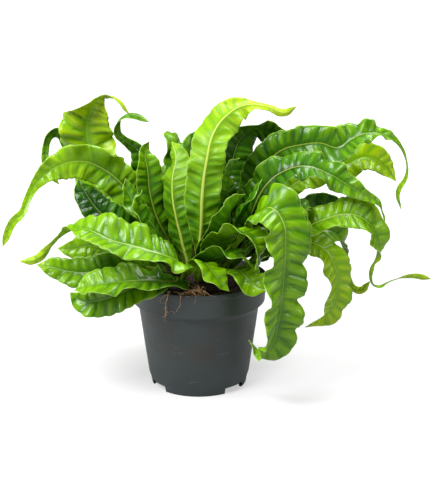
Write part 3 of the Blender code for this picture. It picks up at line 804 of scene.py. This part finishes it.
print("the plastic has", len(plastic_nodes.nodes), "nodes")

# %% [markdown]
# ## The pot
#
# A nursery pot is moulded from plastic as one wall of even thickness: a collar, a step, a tapering body, a
# foot ring with three notches, and a raised floor with drain holes. Half its outline is turned round the
# axis by a Screw modifier and given its wall by Solidify, and the notches and drains are cut with Booleans.
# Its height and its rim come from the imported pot's box.

# %% Sizes of the pot
pot_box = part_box("pot")
POT_HEIGHT = pot_box[1].z
RIM_RADIUS = pot_box[1].x
POT_WALL = 1.5 * MM
COLLAR_FOOT = (82.3 * MM, 108.5 * MM)
BODY_TOP = (75.5 * MM, 101.5 * MM)
FOOT_RADIUS = 59.3 * MM
FLOOR_HEIGHT = 9 * MM
CENTRE_PAD_RADIUS = 16 * MM
NOTCH_AZIMUTHS = (-148, -42, 90)
NOTCH_WIDTH = 31 * MM
NOTCH_HEIGHT = 7.5 * MM
DRAIN_COUNT = 6
DRAIN_RADIUS = 4.5 * MM
DRAIN_RING = 43 * MM
POT_STEPS = 144
POT_ROUNDING = 0.4 * MM
ROUNDED_BEND = math.radians(24)
SHARP_BEND = math.radians(28)
LIP_HEIGHT = 5 * MM
LIP_FOOT = 6.5 * MM
LIP_OVERHANG = 0.9 * MM
BODY_OUTLINE = [(74.4 * MM, 98 * MM), (67.2 * MM, 45 * MM), (63 * MM, 15 * MM), (60.8 * MM, 8 * MM)]
FOOT_RING_WIDTH = 3.6 * MM
FOOT_RING_SLOPE = 5 * MM
PAD_SLOPE = 9 * MM
NOTCH_CUT = 16 * MM
DRAIN_CUT = 8 * MM
print("pot", round(2 * RIM_RADIUS / MM), "mm across its rim and", round(POT_HEIGHT / MM), "mm high")


# %% Turn the pot
def turned(name, outline, steps, material):
    """A closed solid or a sheet, turned from points of (radius, height)."""
    mesh = bpy.data.meshes.new(name)
    mesh.from_pydata([(radius, 0, height) for radius, height in outline],
                     [(i, i + 1) for i in range(len(outline) - 1)], [])
    thing = link_object(name, mesh, [material])
    screw = thing.modifiers.new("turn", "SCREW")
    screw.steps = screw.render_steps = steps
    screw.use_merge_vertices = True
    screw.merge_threshold = 0.01 * MM
    return thing


def pot_outline():
    """From the lip down the outside, and in under the foot to the middle of the floor."""
    lip = [(RIM_RADIUS, POT_HEIGHT), (RIM_RADIUS, POT_HEIGHT - LIP_HEIGHT),
           (RIM_RADIUS - LIP_OVERHANG, POT_HEIGHT - LIP_FOOT)]
    foot = [(FOOT_RADIUS, 0), (FOOT_RADIUS - FOOT_RING_WIDTH, 0),
            (FOOT_RADIUS - FOOT_RING_SLOPE, FLOOR_HEIGHT)]
    pad = [(CENTRE_PAD_RADIUS + PAD_SLOPE, FLOOR_HEIGHT), (CENTRE_PAD_RADIUS, 0), (0, 0)]
    return lip + [COLLAR_FOOT, BODY_TOP] + BODY_OUTLINE + foot + pad


def cutter(name, shape):
    mesh = bpy.data.meshes.new(name)
    shape.to_mesh(mesh)
    shape.free()
    return link_object(name, mesh)


def pot_cutters():
    made = []
    for azimuth in NOTCH_AZIMUTHS:
        turn = Matrix.Rotation(math.radians(azimuth), 4, "Z") @ Matrix.Translation((FOOT_RADIUS, 0, 0))
        block = Matrix.Diagonal((NOTCH_CUT, NOTCH_WIDTH, 2 * NOTCH_HEIGHT, 1))
        shape = bmesh.new()
        bmesh.ops.create_cube(shape, size=1, matrix=turn @ block)
        made.append(cutter(f"notch_cutter_{azimuth}", shape))
    for index in range(DRAIN_COUNT):
        turn = Matrix.Rotation(math.tau * (index + 0.5) / DRAIN_COUNT, 4, "Z")
        shape = bmesh.new()
        bmesh.ops.create_cone(shape, cap_ends=True, segments=28, radius1=DRAIN_RADIUS, radius2=DRAIN_RADIUS,
                              depth=DRAIN_CUT,
                              matrix=turn @ Matrix.Translation((DRAIN_RING, 0, FLOOR_HEIGHT)))
        made.append(cutter(f"drain_cutter_{index}", shape))
    return made


pot = turned("nursery_pot", pot_outline(), POT_STEPS, plastic)
wall = pot.modifiers.new("wall", "SOLIDIFY")
wall.thickness = POT_WALL
wall.offset = -1
wall.use_even_offset = True
rounding = pot.modifiers.new("rounding", "BEVEL")
rounding.width = POT_ROUNDING
rounding.segments = 3
rounding.limit_method = "ANGLE"
rounding.angle_limit = ROUNDED_BEND
cutters = pot_cutters()
for each in cutters:
    boolean = pot.modifiers.new(each.name, "BOOLEAN")
    boolean.operation = "DIFFERENCE"
    boolean.object = each
apply_modifiers(pot)
for each in cutters:
    bpy.data.objects.remove(each)
pot.data.shade_smooth()
pot.data.set_sharp_from_angle(angle=SHARP_BEND)
finish_piece(pot, "pot")
print("the pot has", triangle_count(pot), "triangles")

# %% [markdown]
# ## The potting mix
#
# Under the fronds lies a dark, fibrous mix of peat and bark. Its body is a plain turned solid with an
# uneven top, and Geometry Nodes strew crumbs over that top: little twenty-sided lumps, each with a size and
# a turn of its own.


# %% Strew lumps over a surface
def random_number(tree, low, high, seed):
    made = add_node(tree, "FunctionNodeRandomValue", {"Seed": seed}, data_type="FLOAT")
    values = [socket for socket in made.inputs if socket.type == "VALUE"]
    values[0].default_value = low
    values[1].default_value = high
    return next(socket for socket in made.outputs if socket.type == "VALUE" and socket.enabled)


def random_vector(tree, low, high, seed):
    made = add_node(tree, "FunctionNodeRandomValue", {"Seed": seed}, data_type="FLOAT_VECTOR")
    made.inputs[0].default_value = low
    made.inputs[1].default_value = high
    return made.outputs[0]


def strewn_points(tree, body, density, least_upward, seed):
    """Random points on whatever faces up more than `least_upward`."""
    normal = add_node(tree, "GeometryNodeInputNormal")
    facing = add_node(tree, "ShaderNodeSeparateXYZ", {0: normal.outputs[0]})
    upward = Field(tree, facing.outputs["Z"]).math("GREATER_THAN", least_upward)
    return add_node(tree, "GeometryNodeDistributePointsOnFaces",
                    {"Mesh": body, "Selection": upward, "Density": density, "Seed": seed})


def crumb_tree():
    """Keeps the body it is given and strews crumbs on whatever faces up."""
    inputs = (("Body", "NodeSocketGeometry", None), ("Count per Square Metre", "NodeSocketFloat", 90000.0),
              ("Crumb Size", "NodeSocketFloat", 1.3 * MM), ("Size Spread", "NodeSocketFloat", 1.0 * MM),
              ("Material", "NodeSocketMaterial", None))
    outputs = (("Cover", "NodeSocketGeometry", None),)
    tree, given, result = new_tree("crumb_cover", "GeometryNodeTree", inputs, outputs)
    strewn = strewn_points(tree, given["Body"], given["Count per Square Metre"], 0.6, 4)
    lump = add_node(tree, "GeometryNodeMeshIcoSphere", {"Radius": 1.0, "Subdivisions": 1})
    size = Field(tree, random_number(tree, 0.0, 1.0, 7)) ** 3 * given["Size Spread"] + given["Crumb Size"]
    shape = add_node(tree, "ShaderNodeVectorMath",
                     {0: random_vector(tree, (0.5, 0.5, 0.35), (1.4, 1.0, 0.9), 8)}, operation="SCALE")
    feed(tree, shape.inputs["Scale"], size)
    crumbs = add_node(tree, "GeometryNodeInstanceOnPoints",
                      {"Points": strewn.outputs["Points"], "Instance": lump.outputs["Mesh"],
                       "Scale": shape.outputs["Vector"]})
    turn = random_vector(tree, (0, 0, 0), (math.tau, math.tau, math.tau), 9)
    rotated = add_node(tree, "FunctionNodeEulerToRotation", {0: turn})
    feed(tree, crumbs.inputs["Rotation"], rotated.outputs[0])
    end_tree(tree, join(tree, given["Body"], crumbs.outputs[0]), given["Material"], result["Cover"])
    return tree


print("crumb tree ready")

# %% Colours of soil and fibre
MIX_COLOURS = ((0.008, 0.004, 0.003, 1), (0.045, 0.020, 0.010, 1))
ROOT_COLOURS = ((0.300, 0.130, 0.050, 1), (0.760, 0.540, 0.300, 1))
STOCK_COLOURS = ((0.004, 0.002, 0.001, 1), (0.060, 0.026, 0.012, 1))


def earthy_material(name, colours, scale, depth, roughness):
    """A rough, broken surface between two colours."""
    material, tree, shader, place = new_material(name)
    coarse, _ = patch(tree, place, Scale=scale, Cover=0.5, Softness=0.2)
    fine, fine_height = patch(tree, place, Scale=scale * 6, Cover=0.4, Softness=0.1)
    colour = mixed(tree, coarse * 0.6 + fine * 0.4, *colours)
    wire_surface(tree, shader, colour, fine * -0.1 + roughness, fine_height, depth)
    return material


soil = earthy_material("peat_and_bark", MIX_COLOURS, 130.0, 0.5 * MM, 0.95)
root_bark = earthy_material("root_bark", ROOT_COLOURS, 160.0, 0.1 * MM, 0.75)
stock_bark = earthy_material("rootstock_scales", STOCK_COLOURS, 220.0, 0.3 * MM, 0.85)

# %% The mix in the pot
mix_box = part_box("potting_mix")
MIX_TOP = mix_box[1].z
MIX_RADIUS = mix_box[1].x
MIX_RINGS = 26
MIX_STEPS = 96
MIX_LIFT = 1.3 * MM
MIX_DOME = 4 * MM
LOOSE_DEPTH = 5 * MM
MIX_SIDE = [(79.2 * MM, 109 * MM), (72.6 * MM, 102 * MM), (71.5 * MM, 97.5 * MM), (64.4 * MM, 45 * MM),
            (60.2 * MM, 16 * MM)]
MIX_FOOT_RADIUS = 53.6 * MM


def mix_outline():
    """From the crown of the top out to the wall, and down inside the pot to its floor."""
    top = [(MIX_RADIUS * ring / MIX_RINGS, MIX_TOP - MIX_DOME * (ring / MIX_RINGS) ** 2)
           for ring in range(MIX_RINGS + 1)]
    return top + MIX_SIDE + [(MIX_FOOT_RADIUS, mix_box[0].z), (0, mix_box[0].z)]


mix = apply_modifiers(turned("potting_mix_bed", mix_outline(), MIX_STEPS, soil))
for point in mix.data.vertices:
    if point.co.z > MIX_TOP - LOOSE_DEPTH:
        point.co.z += MIX_LIFT * (noise.noise(point.co * 70) + 0.6 * noise.noise(point.co * 190) - 0.6)
cover = mix.modifiers.new("crumbs", "NODES")
cover.node_group = crumb_tree()
set_inputs(cover, {"Material": soil})
apply_modifiers(mix)
finish_piece(mix, "potting_mix")
print("the mix has", triangle_count(mix), "triangles")

# %% [markdown]
# ## The rootstock
#
# All the fronds rise from a short, upright rootstock that is hidden in brown scales and root hairs. It is a
# knobbly dome, and Geometry Nodes cover it with bristles: thin curved hairs that stand on the surface and
# lean at random. A bristle is a bent line swept by a three-sided profile.


# %% The bristle tree
def bristle_tree():
    inputs = (("Body", "NodeSocketGeometry", None), ("Count per Square Metre", "NodeSocketFloat", 160000.0),
              ("Length", "NodeSocketFloat", 9.0 * MM), ("Thickness", "NodeSocketFloat", 0.3 * MM),
              ("Lean", "NodeSocketFloat", 1.1), ("Material", "NodeSocketMaterial", None))
    outputs = (("Cover", "NodeSocketGeometry", None),)
    tree, given, result = new_tree("bristle_cover", "GeometryNodeTree", inputs, outputs)
    strewn = strewn_points(tree, given["Body"], given["Count per Square Metre"], 0.05, 11)
    bend = add_node(tree, "GeometryNodeCurveQuadraticBezier", {"Resolution": 5})
    for title, place in (("Start", (0, 0, -0.1)), ("Middle", (0, 0, 0.6)), ("End", (0.55, 0, 0.95))):
        bend.inputs[title].default_value = place
    profile = add_node(tree, "GeometryNodeCurvePrimitiveCircle", {"Resolution": 3})
    thin = Field(tree, given["Thickness"]) / given["Length"]
    feed(tree, profile.inputs["Radius"], thin)
    hair = add_node(tree, "GeometryNodeCurveToMesh",
                    {"Curve": bend.outputs[0], "Profile Curve": profile.outputs[0], "Fill Caps": True})
    size = Field(tree, random_number(tree, 0.35, 1.0, 12)) * given["Length"]
    hairs = add_node(tree, "GeometryNodeInstanceOnPoints",
                     {"Points": strewn.outputs["Points"], "Instance": hair.outputs[0],
                      "Rotation": strewn.outputs["Rotation"], "Scale": size})
    lean = add_node(tree, "ShaderNodeVectorMath", {0: random_vector(tree, (-1, -1, -3), (1, 1, 3), 13)},
                    operation="SCALE")
    feed(tree, lean.inputs["Scale"], given["Lean"])
    turn = add_node(tree, "FunctionNodeEulerToRotation", {0: lean.outputs["Vector"]})
    leaning = add_node(tree, "GeometryNodeRotateInstances", {"Instances": hairs.outputs[0]})
    feed(tree, leaning.inputs["Rotation"], turn.outputs[0])
    end_tree(tree, join(tree, given["Body"], leaning.outputs[0]), given["Material"], result["Cover"])
    return tree


bristles = bristle_tree()

# %% The rootstock dome
STOCK_RADIUS = rootstock_box[1].x
STOCK_FOOT = rootstock_box[0].z
STOCK_HEIGHT = rootstock_box[1].z - STOCK_FOOT
STOCK_RINGS = 14
STOCK_STEPS = 72
SKIRT_DEPTH = 1 * MM
SKIRT_SHARE = 0.97


def stock_outline():
    angles = [math.pi / 2 * ring / STOCK_RINGS for ring in range(STOCK_RINGS + 1)]
    dome = [(STOCK_RADIUS * math.sin(a), STOCK_FOOT + STOCK_HEIGHT * math.cos(a)) for a in angles]
    return dome + [(STOCK_RADIUS * SKIRT_SHARE, STOCK_FOOT - SKIRT_DEPTH), (0, STOCK_FOOT - SKIRT_DEPTH)]


stock = apply_modifiers(turned("rootstock_crown", stock_outline(), STOCK_STEPS, stock_bark))
for point in stock.data.vertices:
    knob = noise.noise(point.co * 110) * 2.2 * MM + noise.noise(point.co * 320) * 0.9 * MM
    point.co += point.co.normalized() * (knob if point.co.z > STOCK_FOOT else 0)
hairy = stock.modifiers.new("bristles", "NODES")
hairy.node_group = bristles
set_inputs(hairy, {"Material": stock_bark})
apply_modifiers(stock)
finish_piece(stock, "rootstock")
print("the rootstock has", triangle_count(stock), "triangles")

# %% [markdown]
# ## Loose roots
#
# A few roots have crept over the soil and out over the rim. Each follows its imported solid's route and thins
# towards its end, with finer rootlets branching off at random. All of them are paths with a thickness,
# which one Geometry Nodes tree turns into tubes.


# %% The root tree
def root_tree():
    inputs = (("Paths", "NodeSocketGeometry", None), ("Sides", "NodeSocketInt", 6),
              ("Material", "NodeSocketMaterial", None))
    outputs = (("Roots", "NodeSocketGeometry", None),)
    tree, given, result = new_tree("root_tubes", "GeometryNodeTree", inputs, outputs)
    line = add_node(tree, "GeometryNodeMeshToCurve", {"Mesh": given["Paths"]})
    sized = add_node(tree, "GeometryNodeSetCurveRadius",
                     {"Curve": line.outputs[0], "Radius": named(tree, "thickness")})
    ring = add_node(tree, "GeometryNodeCurvePrimitiveCircle", {"Resolution": given["Sides"], "Radius": 1.0})
    tube = add_node(tree, "GeometryNodeCurveToMesh",
                    {"Curve": sized.outputs[0], "Profile Curve": ring.outputs[0], "Fill Caps": True,
                     "Scale": named(tree, "thickness")})
    smooth = add_node(tree, "GeometryNodeSetShadeSmooth", {"Geometry": tube.outputs[0]})
    end_tree(tree, smooth.outputs[0], given["Material"], result["Roots"])
    return tree


root_tubes = root_tree()

# %% Routes of the roots
ROOT_ROUTES = {
    "surface_root_hanging": (
        (-26, -59, 130), (-31, -69, 134), (-34, -77, 141), (-35, -81, 138), (-38, -79, 125), (-37, -80, 112)),
    "surface_root_short": (
        (-14, -60, 131), (-16, -72, 134), (-18, -81, 141), (-20, -86, 138), (-21, -85.5, 128)),
    "surface_root_curled": (
        (-2, -58, 131), (4, -68, 132), (-4, -76, 136), (-10, -80, 142), (0, -81, 146), (8, -76, 141)),
}
ROOTLETS = {"surface_root_hanging": 9, "surface_root_short": 8, "surface_root_curled": 60}
ROOT_RADIUS = 0.75 * MM
ROOTLET_RADIUS = 0.3 * MM
RIM_BAND = 3 * MM
WOBBLE_SEED = 5
noise.seed_set(WOBBLE_SEED)        # without a seed, noise_vector starts from the clock


def fine_route(route, step):
    """A smooth path through the points of a route."""
    points = np.array(route, float)
    places = np.concatenate([[0], np.cumsum(np.linalg.norm(np.diff(points, axis=0), axis=1))])
    return smooth_line(points, places, np.arange(0, places[-1], step))


def rootlet(start, generator, length):
    """A thin path that leaves a root, wanders and sinks."""
    points, heading = [np.array(start)], generator.normal(size=3)
    heading[2] *= 0.4
    for _ in range(length):
        heading = unit(heading + generator.normal(size=3) * 0.5 + (0, 0, -0.16))
        point = points[-1] + heading * 1.6 * MM
        outward = np.hypot(point[0], point[1])
        if outward > RIM_RADIUS - RIM_BAND and point[2] < POT_HEIGHT + 1 * MM:
            least = RIM_RADIUS + 0.4 * MM if outward > RIM_RADIUS else 0
            point[:2] *= max(1, least / outward)
        points.append(point)
    return np.array(points)


def root_paths(name, seed):
    generator = np.random.default_rng(seed)
    main = fine_route(ROOT_ROUTES[name], 1.2) * MM
    wobble = np.array([noise.noise_vector(Vector(point) * 220) for point in main]) * 0.5 * MM
    wobble[:, 1] = np.minimum(wobble[:, 1], 0)
    paths = [(main + wobble, np.linspace(ROOT_RADIUS, ROOT_RADIUS * 0.35, len(main)))]
    for _ in range(ROOTLETS[name]):
        start = main[generator.integers(len(main) // 3, len(main))]
        path = rootlet(start, generator, int(generator.integers(5, 13)))
        paths.append((path, np.linspace(ROOTLET_RADIUS, ROOTLET_RADIUS * 0.4, len(path))))
    corners, edges, sizes = [], [], []
    for points, radii in paths:
        edges += [(len(corners) + i, len(corners) + i + 1) for i in range(len(points) - 1)]
        corners += points.tolist()
        sizes += radii.tolist()
    mesh = bpy.data.meshes.new(name + "_paths")
    mesh.from_pydata(corners, edges, [])
    add_attribute(mesh, "thickness", "FLOAT", sizes)
    return mesh


for seed, name in enumerate(ROOT_ROUTES):
    root = link_object(name.replace("surface_", "loose_"), root_paths(name, seed))
    tubes = root.modifiers.new("tubes", "NODES")
    tubes.node_group = root_tubes
    set_inputs(tubes, {"Material": root_bark})
    apply_modifiers(root)
    finish_piece(root, name)
    print(root.name, triangle_count(root), "triangles")

# %% [markdown]
# ## The floor
#
# A wide pale sheet carries the plant and catches its soft shadow. It also glows a little, for the camera
# only and more with distance, so that it runs into the white room without a line.

# %% Floor
FLOOR_GLOW = (0.46, 0.97)
FLOOR_GLOW_REACH = (0.4, 1.6)
floor_material, floor_nodes, floor_shader, floor_place = new_material("pale_floor", Roughness=0.9)
floor_shader.inputs["Base Color"].default_value = (0.4, 0.4, 0.4, 1)
floor_shader.inputs["Emission Color"].default_value = (1, 1, 1, 1)
distance = add_node(floor_nodes, "ShaderNodeVectorMath", {0: floor_place}, operation="LENGTH")
away = Field(floor_nodes, distance.outputs["Value"]).ramp(*FLOOR_GLOW_REACH)
glow = away * (FLOOR_GLOW[1] - FLOOR_GLOW[0]) + FLOOR_GLOW[0]
seen_directly = Field(floor_nodes, add_node(floor_nodes, "ShaderNodeLightPath").outputs["Is Camera Ray"])
feed(floor_nodes, floor_shader.inputs["Emission Strength"], seen_directly * glow)
bpy.ops.mesh.primitive_plane_add(size=80, location=(0, 0, 0))
floor = bpy.context.object
floor.name = "floor"
floor.data.materials.append(floor_material)
